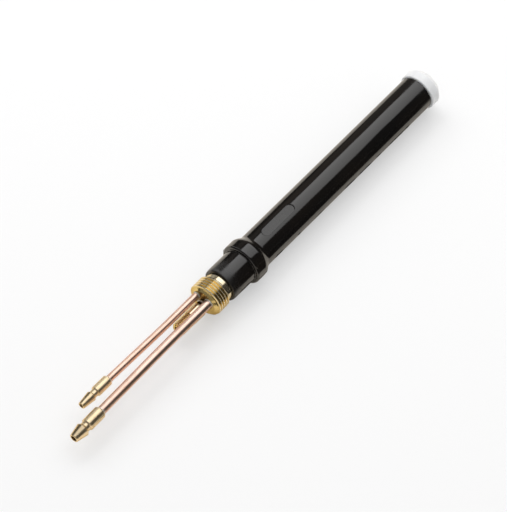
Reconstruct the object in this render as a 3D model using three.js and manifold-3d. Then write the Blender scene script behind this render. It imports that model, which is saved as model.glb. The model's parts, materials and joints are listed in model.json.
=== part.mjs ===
// A straight water-cooled TIG torch body, as it comes before its handle, cup and cables are fitted.
// Units are millimetres. +X runs along the torch axis to the nozzle end and +Z is up, through the
// label pad. Every station below is a distance back from the cup gasket's front face, and the
// finished torch is moved at the end so that it lies on Z = 0 with its box centred on the origin.
import * as THREE from 'three';
import { mergeVertices } from 'three/addons/utils/BufferGeometryUtils.js';
import Module from 'manifold-3d';

const wasm = await Module();
wasm.setup();

// ---------------------------------------------------------------- driving dimensions
// Clearances
const seatGap = 0.2; // between pieces that seat on each other
const brazeGap = 0.15; // between a tube and the hole or sleeve it is brazed into

// Facets round each kind of piece
const bodySides = 32;
const innerSides = 24;
const smallSides = 20;
const tubeSides = 16;
const drillingSides = 10;

// Cup gasket
const gasketLength = 6.4;
const gasketRadius = 8.8;
const gasketFaceRadius = 6.8;
const gasketConeLength = 2.2;
const gasketConeBlend = 0.2; // half the length of the soft corner behind the cone
const gasketRearRound = 0.5;

// Moulded body
const barrelLength = 109.3;
const barrelFrontRadius = 7.92;
const barrelRearRadius = 8.05;
const barrelFrontEdge = 0.3;
const collarFlareLength = 4.7;
const collarRadius = 9.8;
const collarLength = 4.9;
const collarRound = 1.2;
const neckRadius = 8.12;
const neckLength = 13.5;
const neckEndRadius = 7.8;
const neckEndLength = 1.3; // the neck rounds in to its end radius over this length
const bodyBoreRadius = 6.5;

// Label pad, a shallow flat-floored capsule on the barrel's top
const padLength = 19.0;
const padWidth = 4.2;
const padBehindFront = 91.8; // from the barrel's front face to the pad's middle
const padDepth = 0.4;

// Head core and its water jacket
const spigotRadius = 5.2;
const spigotRecess = 0.8; // the spigot stops this far inside the gasket
const socketRadius = 4.0;
const socketDepth = 20.0;
const socketPoint = 1.2; // the cone that the drill leaves beyond the socket's depth
const socketChamfer = 0.3;
const headRadius = 6.2;
const headFlangeLength = 1.8;
const jacketWall = 0.6;
const jacketLength = 21.0;
const jacketLandLength = 2.4;
const waterChannelDepth = 0.6;
const headBlockLength = 8.0;
const tubeSocketDepth = 5.0;
const waterwayRadius = 0.9;
const waterwayReach = 2.5; // how far each waterway runs forward of the waist's rear end
const gasPassageRadius = 1.2;
const gasPassageDepth = 6.0;

// Tubes: outside radii, bores, and where they lie in the rear fitting
const gasTube = { radius: 3.175 / 2, bore: 1.0, y: 3.31, z: 2.38 };
const waterTube = { radius: 3.97 / 2, bore: 1.3, y: -2.99, z: 2.03 };
const returnTube = { radius: 2.0, bore: 1.4, y: 0.3, z: -2.62 };
const straightBehindFitting = 16.0; // the two long tubes start to drift this far behind it
// How far each runs behind the fitting, how far its end has drifted, and its slope there
const gasTubeRun = { reach: 62.0, drift: { y: 1.17, z: -0.85 }, slope: { y: 0.025, z: -0.049 } };
const waterTubeRun = { reach: 76.1, drift: { y: 0.0, z: -1.65 }, slope: { y: 0.012, z: -0.049 } };

// Spacer discs that hold the tubes apart inside the body
const spacerCount = 3;
const spacerThickness = 3.0;
const spacerClearance = 0.2;

// Threaded rear fitting, 5/8-18
const fittingSpigotLength = 8.0;
const reliefRadius = 6.75;
const reliefLength = 2.7;
const threadLead = 0.5; // the bevel at the thread's front end
const handleThreadRadius = 15.875 / 2;
const handleThreadLength = 8.1;
const handleThreadChamfer = 1.5;
const fittingFaceRadius = 6.2;

// Power and water-return stud, 1/4-28
const studShankRadius = 2.7;
const studShankInFitting = 12.0;
const studStandOff = 2.0; // from the rear fitting's face to the shoulder
const studShoulderRadius = 3.25;
const studShoulderLength = 6.5;
const studShoulderEdge = 0.3;
const studThreadRadius = 6.35 / 2;
const studThreadLength = 7.85;
const studTipChamfer = 0.9; // along the stud
const studTipStep = 0.72; // and across it
const studBore = 1.6;
const studTubeSocketDepth = 8.0;

// Hose barbs: the sleeve over the tube, the groove, and the tapered barb
const barbTipEdge = 0.15;
const gasBarb = {
  sleeveRadius: 2.36, sleeveLength: 7.9, edge: 0.35, socketDepth: 6.0, bore: 1.0,
  grooveRadius: 1.75, grooveLength: 1.9, backSlope: 0.6,
  barbRadius: 2.3, tipRadius: 1.58, barbLength: 6.9,
};
const waterBarb = {
  sleeveRadius: 2.82, sleeveLength: 8.9, edge: 0.5, socketDepth: 6.5, bore: 1.4,
  grooveRadius: 2.25, grooveLength: 1.4, backSlope: 1.0,
  barbRadius: 3.1, tipRadius: 2.0, barbLength: 6.7,
};

// Braze fillets
const filletHeight = 0.8;
const filletWidth = 0.4;
const filletEdge = 0.08; // how thin it is where it runs out along the tube
const studFilletWidth = 0.25; // narrower, because the water tube is close to it

// How far a drill runs past a face that it breaks through
const drillOverrun = 1.0;

// ---------------------------------------------------------------- derived stations
const barrelFront = gasketLength + seatGap;
const flareFront = barrelFront + barrelLength;
const collarFront = flareFront + collarFlareLength;
const collarRear = collarFront + collarLength;
const neckRear = collarRear + neckLength;
const reliefFront = neckRear + seatGap;
const threadFront = reliefFront + reliefLength;
const fittingRear = threadFront + handleThreadLength;
const fittingFront = neckRear - fittingSpigotLength;

const headFlangeFront = barrelFront + seatGap;
const socketFloor = spigotRecess + socketDepth;
const jacketFront = headFlangeFront + headFlangeLength + seatGap;
const jacketRear = jacketFront + jacketLength;
const jacketBore = headRadius - jacketWall;
const waistFront = jacketFront + jacketLandLength;
const waistRear = jacketRear - jacketLandLength;
const headBlockFront = jacketRear + seatGap;
const headRear = headBlockFront + headBlockLength;
const tubeSocketFloor = headRear - tubeSocketDepth;
const tubeFront = tubeSocketFloor + seatGap;

// ---------------------------------------------------------------- materials
const finish = (color, roughness, metalness) =>
  new THREE.MeshStandardMaterial({ color, roughness, metalness });

const finishes = {
  moulding: () => finish(0x171514, 0.3, 0),
  ptfe: () => finish(0xf1f1ee, 0.55, 0),
  brass: () => finish(0xd8bd7c, 0.28, 1),
  copper: () => finish(0xd79a7c, 0.25, 1),
  braze: () => finish(0xc9c6bf, 0.4, 1),
  phenolic: () => finish(0x8a5a36, 0.7, 0),
};

// ---------------------------------------------------------------- shaping
// A turned piece. The profile is a list of [radius, station] points. It runs back along the
// outside and, for a hollow piece, forward again along the bore to where it began. A point
// on the axis closes a solid end.
function turned(profile, sides) {
  const points = profile.map(([radius, station]) => new THREE.Vector2(radius, station));
  if (profile[0][0] > 0) points.push(points[0].clone());
  const halfFacet = Math.PI / sides; // flats, not edges, face up and down
  const geometry = new THREE.LatheGeometry(points, sides, halfFacet);
  return geometry.rotateZ(Math.PI / 2);
}

// Points of an arc in a profile, from one angle to the other in degrees. Zero degrees points
// away from the axis and 90 degrees points back.
function arc(radius, station, size, from, to, steps = 4) {
  return Array.from({ length: steps + 1 }, (_, i) => {
    const angle = THREE.MathUtils.degToRad(from + ((to - from) * i) / steps);
    return [radius + size * Math.cos(angle), station + size * Math.sin(angle)];
  });
}

// A flare from one radius to another, hollow at its foot and rounded at its top
function flare(fromRadius, toRadius, front, rear, steps = 6) {
  return Array.from({ length: steps + 1 }, (_, i) => {
    const rise = (1 - Math.cos((Math.PI * i) / steps)) / 2;
    return [
      THREE.MathUtils.lerp(fromRadius, toRadius, rise),
      THREE.MathUtils.lerp(front, rear, i / steps),
    ];
  });
}

const onAxis = { y: 0, z: 0 };

// A drill along the axis between two stations, off the axis by the place's y and z.
function drill(place, radius, from, to, sides = tubeSides) {
  const tool = new THREE.CylinderGeometry(radius, radius, to - from, sides).rotateZ(Math.PI / 2);
  return tool.translate(-(from + to) / 2, place.y, place.z);
}

// A drill from one point to another, each given as a station and an offset from the axis.
function slantDrill(radius, start, end, sides = drillingSides) {
  const a = new THREE.Vector3(-start.station, start.y, start.z);
  const b = new THREE.Vector3(-end.station, end.y, end.z);
  const along = b.clone().sub(a);
  const tool = new THREE.CylinderGeometry(radius, radius, along.length(), sides);
  const turn = new THREE.Quaternion().setFromUnitVectors(
    new THREE.Vector3(0, 1, 0), along.clone().normalize());
  return tool.applyQuaternion(turn).translate(...a.add(b).multiplyScalar(0.5).toArray());
}

function solidOf(geometry) {
  const bare = geometry.clone();
  bare.deleteAttribute('normal');
  bare.deleteAttribute('uv');
  const merged = mergeVertices(bare, 1e-4);
  return new wasm.Manifold(new wasm.Mesh({
    numProp: 3,
    vertProperties: new Float32Array(merged.attributes.position.array),
    triVerts: new Uint32Array(merged.index.array),
  }));
}

function cut(geometry, tools) {
  const left = tools.reduce((solid, tool) => solid.subtract(solidOf(tool)), solidOf(geometry));
  const mesh = left.getMesh();
  const result = new THREE.BufferGeometry();
  result.setAttribute('position', new THREE.BufferAttribute(mesh.vertProperties, 3));
  result.setIndex(new THREE.BufferAttribute(mesh.triVerts, 1));
  result.computeVertexNormals();
  return result;
}

// ---------------------------------------------------------------- assembly
const torch = new THREE.Group();

function add(name, geometry, material) {
  const mesh = new THREE.Mesh(geometry, material);
  mesh.name = name;
  torch.add(mesh);
  return mesh;
}

// ---- Cup gasket: a PTFE ring pushed on the head's spigot. The ceramic cup seats on its flat
// front face, and its coned front edge leads into the outside.
function cupGasket() {
  const bore = spigotRadius + seatGap;
  const coneSlope = (gasketRadius - gasketFaceRadius) / gasketConeLength;
  const rearRound = arc(gasketRadius - gasketRearRound, gasketLength - gasketRearRound,
    gasketRearRound, 0, 90);
  return turned([
    [bore, 0],
    [gasketFaceRadius, 0],
    [gasketRadius - gasketConeBlend * coneSlope, gasketConeLength - gasketConeBlend],
    [gasketRadius, gasketConeLength + gasketConeBlend],
    ...rearRound,
    [bore, gasketLength],
  ], bodySides);
}
add('cup_gasket', cupGasket(), finishes.ptfe());

// ---- Body moulding: barrel, collar and neck in one black moulding, open from end to end
function neckEnd(steps = 3) {
  const drawIn = neckRadius - neckEndRadius;
  return Array.from({ length: steps + 1 }, (_, i) => {
    const angle = (Math.PI / 2) * (i / steps);
    return [
      neckEndRadius + drawIn * Math.cos(angle),
      neckRear - neckEndLength * (1 - Math.sin(angle)),
    ];
  });
}

function bodyMoulding() {
  const shell = turned([
    [bodyBoreRadius, barrelFront],
    [barrelFrontRadius - barrelFrontEdge, barrelFront],
    [barrelFrontRadius, barrelFront + barrelFrontEdge],
    ...flare(barrelRearRadius, collarRadius, flareFront, collarFront),
    ...arc(collarRadius - collarRound, collarRear - collarRound, collarRound, 0, 90),
    [neckRadius, collarRear],
    ...neckEnd(),
    [bodyBoreRadius, neckRear],
  ], bodySides);

  const padMiddle = barrelFront + padBehindFront;
  const straight = padLength / 2 - padWidth / 2;
  const outline = new THREE.Shape();
  outline.absarc(straight, 0, padWidth / 2, -Math.PI / 2, Math.PI / 2, false);
  outline.absarc(-straight, 0, padWidth / 2, Math.PI / 2, (3 * Math.PI) / 2, false);
  const share = padBehindFront / barrelLength;
  const barrelTop = THREE.MathUtils.lerp(barrelFrontRadius, barrelRearRadius, share);
  const cutter = new THREE.ExtrudeGeometry(outline, {
    depth: padDepth + drillOverrun, bevelEnabled: false, curveSegments: 4,
  });
  cutter.translate(-padMiddle, 0, barrelTop - padDepth);
  return cut(shell, [cutter]);
}
add('body_moulding', bodyMoulding(), finishes.moulding());

// ---- Head core: one copper turning. Its front spigot is the socket for the collet body, a
// waist behind it is the water channel, and its rear block takes the three tubes.
function headCore() {
  const land = jacketBore - seatGap;
  const waist = land - waterChannelDepth;
  const flangeRear = headFlangeFront + headFlangeLength;
  return turned([
    [0, socketFloor + socketPoint],
    [socketRadius, socketFloor],
    [socketRadius, spigotRecess + socketChamfer],
    [socketRadius + socketChamfer, spigotRecess],
    [spigotRadius, spigotRecess],
    [spigotRadius, headFlangeFront],
    [headRadius, headFlangeFront],
    [headRadius, flangeRear],
    [land, flangeRear],
    [land, waistFront],
    [waist, waistFront],
    [waist, waistRear],
    [land, waistRear],
    [land, headBlockFront],
    [headRadius, headBlockFront],
    [headRadius, headRear],
    [0, headRear],
  ], innerSides);
}

// The waterways and the gas passage are drilled from the floors of the tube sockets.
function headDrillings() {
  const channelMiddle = jacketBore - seatGap - waterChannelDepth / 2;
  const drillStart = tubeSocketFloor + drillOverrun / 2;
  const galleryEnd = socketFloor + gasPassageDepth;
  const sockets = [gasTube, waterTube, returnTube].map((tube) =>
    drill(tube, tube.radius + brazeGap, tubeSocketFloor, headRear + drillOverrun));
  const waterways = [waterTube, returnTube].map((tube) => {
    const out = channelMiddle / Math.hypot(tube.y, tube.z);
    return slantDrill(waterwayRadius,
      { station: drillStart, y: tube.y, z: tube.z },
      { station: waistRear - waterwayReach, y: tube.y * out, z: tube.z * out });
  });
  const gallery = drill(onAxis, gasPassageRadius, socketFloor, galleryEnd, drillingSides);
  const gasPassage = slantDrill(waterwayRadius,
    { station: drillStart, y: gasTube.y, z: gasTube.z },
    { station: galleryEnd - gasPassageRadius, ...onAxis });
  return [...sockets, ...waterways, gallery, gasPassage];
}
add('head_core', cut(headCore(), headDrillings()), finishes.copper());

// ---- Water jacket: a thin sleeve round the head core's waist that closes the water channel
function ring(inner, outer, front, rear, sides) {
  return turned([[inner, front], [outer, front], [outer, rear], [inner, rear]], sides);
}
add('water_jacket', ring(headRadius - jacketWall, headRadius, jacketFront, jacketRear, innerSides),
  finishes.brass());

// ---- Rear fitting: a brass turning. Its spigot is held in the neck, the handle screws on its
// thread, and the tubes and the stud pass through it.
function rearFitting() {
  const plugRadius = bodyBoreRadius - seatGap;
  const leadStep = (handleThreadRadius - reliefRadius) / 2;
  const plug = turned([
    [0, fittingFront],
    [plugRadius, fittingFront],
    [plugRadius, reliefFront],
    [reliefRadius, reliefFront],
    [reliefRadius, threadFront - threadLead],
    [reliefRadius + leadStep, threadFront],
    [handleThreadRadius, threadFront + threadLead],
    [handleThreadRadius, fittingRear - handleThreadChamfer],
    [fittingFaceRadius, fittingRear],
    [0, fittingRear],
  ], bodySides);
  const from = fittingFront - drillOverrun;
  const to = fittingRear + drillOverrun;
  return cut(plug, [
    drill(gasTube, gasTube.radius + brazeGap, from, to),
    drill(waterTube, waterTube.radius + brazeGap, from, to),
    drill(returnTube, studShankRadius + brazeGap, from, to),
  ]);
}
add('rear_fitting', rearFitting(), finishes.brass());

// ---- Spacer discs: they hold the three tubes apart, evenly shared between head and fitting
function spacerDisc(middle) {
  const front = middle - spacerThickness / 2;
  const rear = middle + spacerThickness / 2;
  const radius = bodyBoreRadius - spacerClearance;
  const disc = turned([[0, front], [radius, front], [radius, rear], [0, rear]], innerSides);
  return cut(disc, [gasTube, waterTube, returnTube].map((tube) =>
    drill(tube, tube.radius + brazeGap, front - drillOverrun, rear + drillOverrun)));
}
for (let i = 0; i < spacerCount; i += 1) {
  const share = (i + 1) / (spacerCount + 1);
  const middle = THREE.MathUtils.lerp(headRear, fittingFront, share);
  add(`tube_spacer_${i + 1}`, spacerDisc(middle), finishes.phenolic());
}

// ---- Gas and water tubes: drawn copper, straight to just behind the rear fitting and then
// drifting gently to their barbs
function tubeRoute(tube, { reach, drift, slope }) {
  const third = (reach - straightBehindFitting) / 3;
  const start = new THREE.Vector3(-tubeFront, tube.y, tube.z);
  const bend = new THREE.Vector3(-fittingRear - straightBehindFitting, tube.y, tube.z);
  const lead = new THREE.Vector3(bend.x - third, tube.y, tube.z);
  const end = new THREE.Vector3(-fittingRear - reach, tube.y + drift.y, tube.z + drift.z);
  const direction = new THREE.Vector3(-1, slope.y, slope.z);
  const follow = end.clone().addScaledVector(direction, -third);
  const path = new THREE.CurvePath();
  path.add(new THREE.LineCurve3(start, bend));
  path.add(new THREE.CubicBezierCurve3(bend, lead, follow, end));
  return { path, end, direction: direction.normalize() };
}

function drawnTube(tube, path, steps) {
  const section = new THREE.Shape().absarc(0, 0, tube.radius, 0, 2 * Math.PI, false);
  section.holes.push(new THREE.Path().absarc(0, 0, tube.bore, 0, 2 * Math.PI, true));
  return new THREE.ExtrudeGeometry(section, {
    extrudePath: path, steps, bevelEnabled: false, curveSegments: tubeSides / 2,
  });
}

const gasRoute = tubeRoute(gasTube, gasTubeRun);
const waterRoute = tubeRoute(waterTube, waterTubeRun);
add('gas_tube', drawnTube(gasTube, gasRoute.path, 15), finishes.copper());
add('water_tube', drawnTube(waterTube, waterRoute.path, 16), finishes.copper());

// ---- Power and water-return stud: its shank is brazed in the rear fitting, and the cable nut
// of the water-cooled power cable screws on its end
const studFront = fittingRear - studShankInFitting;
const studShoulder = fittingRear + studStandOff;
const studThreadFront = studShoulder + studShoulderLength;
const studTip = studThreadFront + studThreadLength;
const studSocketFloor = studFront + studTubeSocketDepth;

function powerStud() {
  const socket = returnTube.radius + brazeGap;
  return turned([
    [studBore, studTip],
    [studBore, studSocketFloor],
    [socket, studSocketFloor],
    [socket, studFront],
    [studShankRadius, studFront],
    [studShankRadius, studShoulder],
    [studShoulderRadius - studShoulderEdge, studShoulder],
    [studShoulderRadius, studShoulder + studShoulderEdge],
    [studShoulderRadius, studThreadFront - studShoulderEdge],
    [studThreadRadius, studThreadFront],
    [studThreadRadius, studTip - studTipChamfer],
    [studThreadRadius - studTipStep, studTip],
  ], smallSides).translate(0, returnTube.y, returnTube.z);
}
add('power_stud', powerStud(), finishes.brass());

const returnTubeRear = studSocketFloor - seatGap;
add('return_tube', ring(returnTube.bore, returnTube.radius, tubeFront, returnTubeRear, tubeSides)
  .translate(0, returnTube.y, returnTube.z), finishes.copper());

// ---- Hose barbs: turned brass, one on each long tube's end. Their stations start at the mouth
// of the sleeve that takes the tube.
function hoseBarb(tube, barb) {
  const socket = tube.radius + brazeGap;
  const grooveFront = barb.sleeveLength;
  const barbFront = grooveFront + barb.grooveLength;
  const tip = barbFront + barb.barbLength;
  return turned([
    [socket, 0],
    [barb.sleeveRadius - barb.edge, 0],
    [barb.sleeveRadius, barb.edge],
    [barb.sleeveRadius, grooveFront - barb.edge],
    [barb.sleeveRadius - barb.edge, grooveFront],
    [barb.grooveRadius, grooveFront],
    [barb.grooveRadius, barbFront],
    [barb.barbRadius, barbFront + barb.backSlope],
    [barb.tipRadius, tip - barbTipEdge],
    [barb.tipRadius - barbTipEdge, tip],
    [barb.bore, tip],
    [barb.bore, barb.socketDepth],
    [socket, barb.socketDepth],
  ], smallSides);
}

// A hollow braze fillet round a tube, from its wide foot at the origin back to its thin edge
function filletRing(tubeRadius, width = filletWidth) {
  const inner = tubeRadius + brazeGap;
  const hollow = [0, 0.5, 1].map((share) => [
    inner + filletEdge + (width - filletEdge) * (1 - Math.sin((share * Math.PI) / 2)),
    filletHeight * (1 - Math.cos((share * Math.PI) / 2)),
  ]);
  return turned([[inner, 0], ...hollow, [inner, filletHeight]], tubeSides);
}

function fitBarb(name, tube, route, barb) {
  const { end, direction } = route;
  const mouth = end.clone().addScaledVector(direction, seatGap - barb.socketDepth);
  const turn = new THREE.Quaternion().setFromUnitVectors(new THREE.Vector3(-1, 0, 0), direction);
  const sleeveWall = barb.sleeveRadius - barb.edge - tube.radius - brazeGap;
  const fillet = filletRing(tube.radius, sleeveWall - filletEdge);
  fillet.rotateY(Math.PI).translate(brazeGap, 0, 0);
  for (const piece of [
    add(`${name}_hose_barb`, hoseBarb(tube, barb), finishes.brass()),
    add(`${name}_barb_braze`, fillet, finishes.braze()),
  ]) {
    piece.position.copy(mouth);
    piece.quaternion.copy(turn);
  }
}
fitBarb('gas', gasTube, gasRoute, gasBarb);
fitBarb('water', waterTube, waterRoute, waterBarb);

// ---- Braze fillets where the tubes leave the rear fitting and the head
function addFillet(name, tube, radius, face, width) {
  const fillet = filletRing(radius, width).translate(-face - brazeGap, tube.y, tube.z);
  add(name, fillet, finishes.braze());
}
addFillet('gas_tube_rear_braze', gasTube, gasTube.radius, fittingRear);
addFillet('water_tube_rear_braze', waterTube, waterTube.radius, fittingRear);
addFillet('stud_rear_braze', returnTube, studShankRadius, fittingRear, studFilletWidth);
addFillet('gas_tube_head_braze', gasTube, gasTube.radius, headRear);
addFillet('water_tube_head_braze', waterTube, waterTube.radius, headRear);
addFillet('return_tube_head_braze', returnTube, returnTube.radius, headRear);

// ---- The torch lies on its collar, with its box centred on the origin in X and Y
const part = new THREE.Group();
part.add(torch);
torch.updateMatrixWorld(true);
const box = new THREE.Box3().setFromObject(torch, true);
torch.position.set(-(box.min.x + box.max.x) / 2, -(box.min.y + box.max.y) / 2, -box.min.z);

export default part;
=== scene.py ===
"""A straight water-cooled TIG torch body: black moulding, white cup gasket, threaded brass rear
fitting, power stud, and copper gas and water tubes with brass hose barbs. Units are metres."""

import json
import math
import random

import bmesh
import bpy
from mathutils import Matrix, Vector


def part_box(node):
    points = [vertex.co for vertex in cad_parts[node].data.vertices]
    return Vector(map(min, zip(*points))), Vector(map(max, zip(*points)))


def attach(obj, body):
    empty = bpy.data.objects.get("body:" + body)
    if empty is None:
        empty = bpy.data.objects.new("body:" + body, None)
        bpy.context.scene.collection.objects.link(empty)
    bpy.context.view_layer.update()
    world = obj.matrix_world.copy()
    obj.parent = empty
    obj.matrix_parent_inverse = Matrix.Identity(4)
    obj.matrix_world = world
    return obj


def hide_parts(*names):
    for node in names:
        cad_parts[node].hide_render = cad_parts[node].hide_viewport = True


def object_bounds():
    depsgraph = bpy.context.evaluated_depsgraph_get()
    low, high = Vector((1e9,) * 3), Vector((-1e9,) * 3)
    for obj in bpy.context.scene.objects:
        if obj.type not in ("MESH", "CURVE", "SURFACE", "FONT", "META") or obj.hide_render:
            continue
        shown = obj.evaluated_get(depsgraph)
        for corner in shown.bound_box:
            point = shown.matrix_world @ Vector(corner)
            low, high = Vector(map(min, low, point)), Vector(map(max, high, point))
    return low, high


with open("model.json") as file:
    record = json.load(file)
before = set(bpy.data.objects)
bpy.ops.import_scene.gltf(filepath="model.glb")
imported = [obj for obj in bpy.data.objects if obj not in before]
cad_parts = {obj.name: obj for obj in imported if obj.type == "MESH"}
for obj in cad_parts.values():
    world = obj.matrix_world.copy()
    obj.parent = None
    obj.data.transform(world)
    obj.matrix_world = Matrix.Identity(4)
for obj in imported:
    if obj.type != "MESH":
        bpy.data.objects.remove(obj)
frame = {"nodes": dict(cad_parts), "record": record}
cad_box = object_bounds()
MM = 0.001

# ---------------------------------------------------------------------------------- studio
# A white paper sweep with the torch lying on its collar. One wide softbox hangs above it, weaker
# soft lights behind draw the shadow forward, and a dark card in front keeps the gloss deep.
AXIS_HEIGHT = (cad_box[0][2] + cad_box[1][2]) / 2
VIEW_AZIMUTH = math.radians(-50.865)
VIEW_ELEVATION = math.radians(53.1)
VIEW_DISTANCE = 2.5074
VIEW_TARGET = Vector((0.32 * MM, -1.03 * MM, AXIS_HEIGHT))
SENSOR_WIDTH = 36.0
LENS = 421.9
PAPER_RADIUS = 4.0
PAPER_WHITE = 0.8
PAPER_SEEN = 0.45
PAPER_GLOW = 0.445
PAPER_MIRRORED = 0.12, 0.102, 0.072
PAPER_WARMED = 0.0, 0.05, 0.12
PAPER_SIDES = 96
SKY_ON_MATT = 0.55
SKY_ON_GLOSS = 0.02
SOFTBOX_FRONT = 0.75
SOFTBOX_RISE = 0.55
CARD_GAP = 23.0 * MM
CARD_REACH = 1.5
CARD_START = -0.1
CARD_SLANT = 0.5
CARD_BLACK = 0.01


class Socket:
    """A node's output, with the arithmetic that the finishes are written in."""

    def __init__(self, tree, output=None):
        self.tree = tree
        self.output = output

    def node(self, kind, settings=None, inputs=None, output=0):
        """Adds a node. Its settings come first, then the values or links of its sockets."""
        made = self.tree.nodes.new(kind)
        for name, value in (settings or {}).items():
            if name == "stops":
                ramp = made.color_ramp.elements
                while len(ramp) < len(value):
                    ramp.new(0.5)
                for element, (position, color) in zip(ramp, value):
                    element.position = position
                    element.color = color
            else:
                setattr(made, name, value)
        for name, value in (inputs or {}).items():
            if isinstance(value, Socket):
                self.tree.links.new(value.output, made.inputs[name])
            else:
                made.inputs[name].default_value = value
        return Socket(self.tree, made.outputs[output])

    def maths(self, operation, *values):
        return self.node("ShaderNodeMath", {"operation": operation}, dict(enumerate(values)))

    def __add__(self, other):
        return self.maths("ADD", self, other)

    def __sub__(self, other):
        return self.maths("SUBTRACT", self, other)

    def __rsub__(self, other):
        return self.maths("SUBTRACT", other, self)

    def __mul__(self, other):
        return self.maths("MULTIPLY", self, other)

    __radd__ = __add__
    __rmul__ = __mul__


def aim(thing, azimuth, elevation, distance, target):
    """Puts a camera or a lamp out along a direction from the target and points it back."""
    out = Vector((math.sin(azimuth) * math.cos(elevation),
                  -math.cos(azimuth) * math.cos(elevation), math.sin(elevation)))
    thing.location = target + distance * out
    thing.rotation_euler = (math.pi / 2 - elevation, 0, azimuth)
    bpy.context.scene.collection.objects.link(thing)


camera = bpy.data.objects.new("camera", bpy.data.cameras.new("camera"))
camera.data.sensor_width = SENSOR_WIDTH
camera.data.lens = LENS
aim(camera, VIEW_AZIMUTH, VIEW_ELEVATION, VIEW_DISTANCE, VIEW_TARGET)
bpy.context.scene.camera = camera
bpy.context.scene.view_settings.view_transform = "Standard"


def soft_lamp(name, azimuth, elevation, width, height, power, distance=1.0):
    """A rectangular lamp that faces the torch and that the camera doesn't see."""
    lamp = bpy.data.objects.new(name, bpy.data.lights.new(name, "AREA"))
    lamp.data.shape = "RECTANGLE"
    lamp.data.size = width
    lamp.data.size_y = height
    lamp.data.energy = power
    lamp.visible_camera = False
    aim(lamp, math.radians(azimuth), math.radians(elevation), distance, VIEW_TARGET)
    return lamp


# Overhead softbox, leaning towards the nozzle end so that the plastic shows it as one band. Its
# tubes are at its back edge, so it fades towards the front.
softbox = soft_lamp("softbox", 86.0, 62.3, width=1.12, height=1.05, power=5.6)
softbox.data.use_nodes = True
tree = softbox.data.node_tree
place = Socket(tree).node("ShaderNodeNewGeometry", output="Parametric")
across = place.node("ShaderNodeSeparateXYZ", None, {0: place}, "X")
strength = across * SOFTBOX_RISE + SOFTBOX_FRONT
tree.links.new(strength.output, tree.nodes["Emission"].inputs["Strength"])
# Key light from behind, seen in the shadow and on matt surfaces only
key = soft_lamp("key", 170.0, 50.0, width=1.0, height=1.0, power=7.4, distance=1.4)
key.visible_glossy = False
# Large dim boards low behind the torch and beyond its tubes, a strip beside the softbox that
# lights cones, and a small card behind the tubes. Only glossy surfaces show the last three.
board = soft_lamp("board", 127.0, 23.0, width=0.75, height=0.8, power=0.2)
board.data.color = (1.0, 0.9, 0.78)
rear_board = soft_lamp("rear_board", -90.0, 22.0, width=1.8, height=0.75, power=0.95)
strip = soft_lamp("strip", -90.0, 84.0, width=1.12, height=0.21, power=0.95)
tube_card = soft_lamp("tube_card", 164.8, 33.6, width=0.09, height=0.30, power=0.098,
                      distance=0.327)
for lamp in (rear_board, strip, tube_card):
    lamp.visible_diffuse = False

world = bpy.data.worlds.new("studio")
world.use_nodes = True
bpy.context.scene.world = world
seen = Socket(world.node_tree).node("ShaderNodeLightPath", output="Is Camera Ray")
matt = Socket(world.node_tree).node("ShaderNodeLightPath", output="Is Diffuse Ray")
backdrop = world.node_tree.nodes["Background"]
backdrop.inputs["Color"].default_value = (1.0, 1.0, 1.0, 1.0)
strength = seen + matt * SKY_ON_MATT + SKY_ON_GLOSS
world.node_tree.links.new(strength.output, backdrop.inputs["Strength"])


def flat_sheet(name, corners, height, color):
    """A flat matt sheet of the studio."""
    sheet = bpy.data.objects.new(name, bpy.data.meshes.new(name))
    sheet.data.from_pydata([(x, y, height) for x, y in corners], [], [range(len(corners))])
    bpy.context.scene.collection.objects.link(sheet)
    material = bpy.data.materials.new(name)
    material.use_nodes = True
    shader = material.node_tree.nodes["Principled BSDF"]
    shader.inputs["Base Color"].default_value = color
    shader.inputs["Roughness"].default_value = 1.0
    shader.inputs["Specular IOR Level"].default_value = 0.0
    sheet.data.materials.append(material)
    return sheet


def evenly(sides):
    """Angles evenly round a circle."""
    return [2 * math.pi * i / sides for i in range(sides)]


# The camera sees the paper glow a little, so that it stays white beyond the torch's shadow.
# Metal shows it a little warmer.
paper = flat_sheet("paper", [(PAPER_RADIUS * math.cos(a), PAPER_RADIUS * math.sin(a))
                             for a in evenly(PAPER_SIDES)],
                   0.0, (PAPER_WHITE, PAPER_WHITE, PAPER_WHITE, 1.0))
tree = paper.active_material.node_tree
shader = tree.nodes["Principled BSDF"]
seen = Socket(tree).node("ShaderNodeLightPath", output="Is Camera Ray")
mirrored = Socket(tree).node("ShaderNodeLightPath", output="Is Glossy Ray")
through = Socket(tree).node("ShaderNodeLightPath", output="Is Transmission Ray")
glow = (seen + through) * PAPER_GLOW
dimmed = PAPER_WHITE - (seen + through) * (PAPER_WHITE - PAPER_SEEN)
for socket, shades in (("Emission Color", [glow + mirrored * share for share in PAPER_MIRRORED]),
                       ("Base Color", [dimmed - mirrored * share for share in PAPER_WARMED])):
    color = seen.node("ShaderNodeCombineColor", None, dict(enumerate(shades)))
    tree.links.new(color.output, shader.inputs[socket])
shader.inputs["Emission Strength"].default_value = 1.0

# The dark card lies on the paper in front of the torch and shows in its gloss alone
card = flat_sheet("dark_card", [(CARD_START + CARD_SLANT * CARD_REACH, -CARD_REACH),
                                (CARD_REACH, -CARD_REACH), (CARD_REACH, -CARD_GAP),
                                (CARD_START, -CARD_GAP)],
                  0.1 * MM, (CARD_BLACK, CARD_BLACK, CARD_BLACK, 1.0))
card.visible_camera = False
card.visible_diffuse = False
card.visible_transmission = False
card.visible_shadow = False

# ---------------------------------------------------------------------------- cup gasket
# A PTFE ring turned from white rod. It pushes on the head's spigot, its coned front edge leads
# into a flat face, and the ceramic cup seats on that face.
TORCH = "torch_body"
GASKET_FACE_RADIUS = 6.8 * MM
GASKET_RADIUS = 8.8 * MM
GASKET_CONE = 2.2 * MM
SPIGOT_RADIUS = 5.2 * MM
SEAT_GAP = 0.2 * MM
SHARP_EDGE = math.radians(32)


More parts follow.
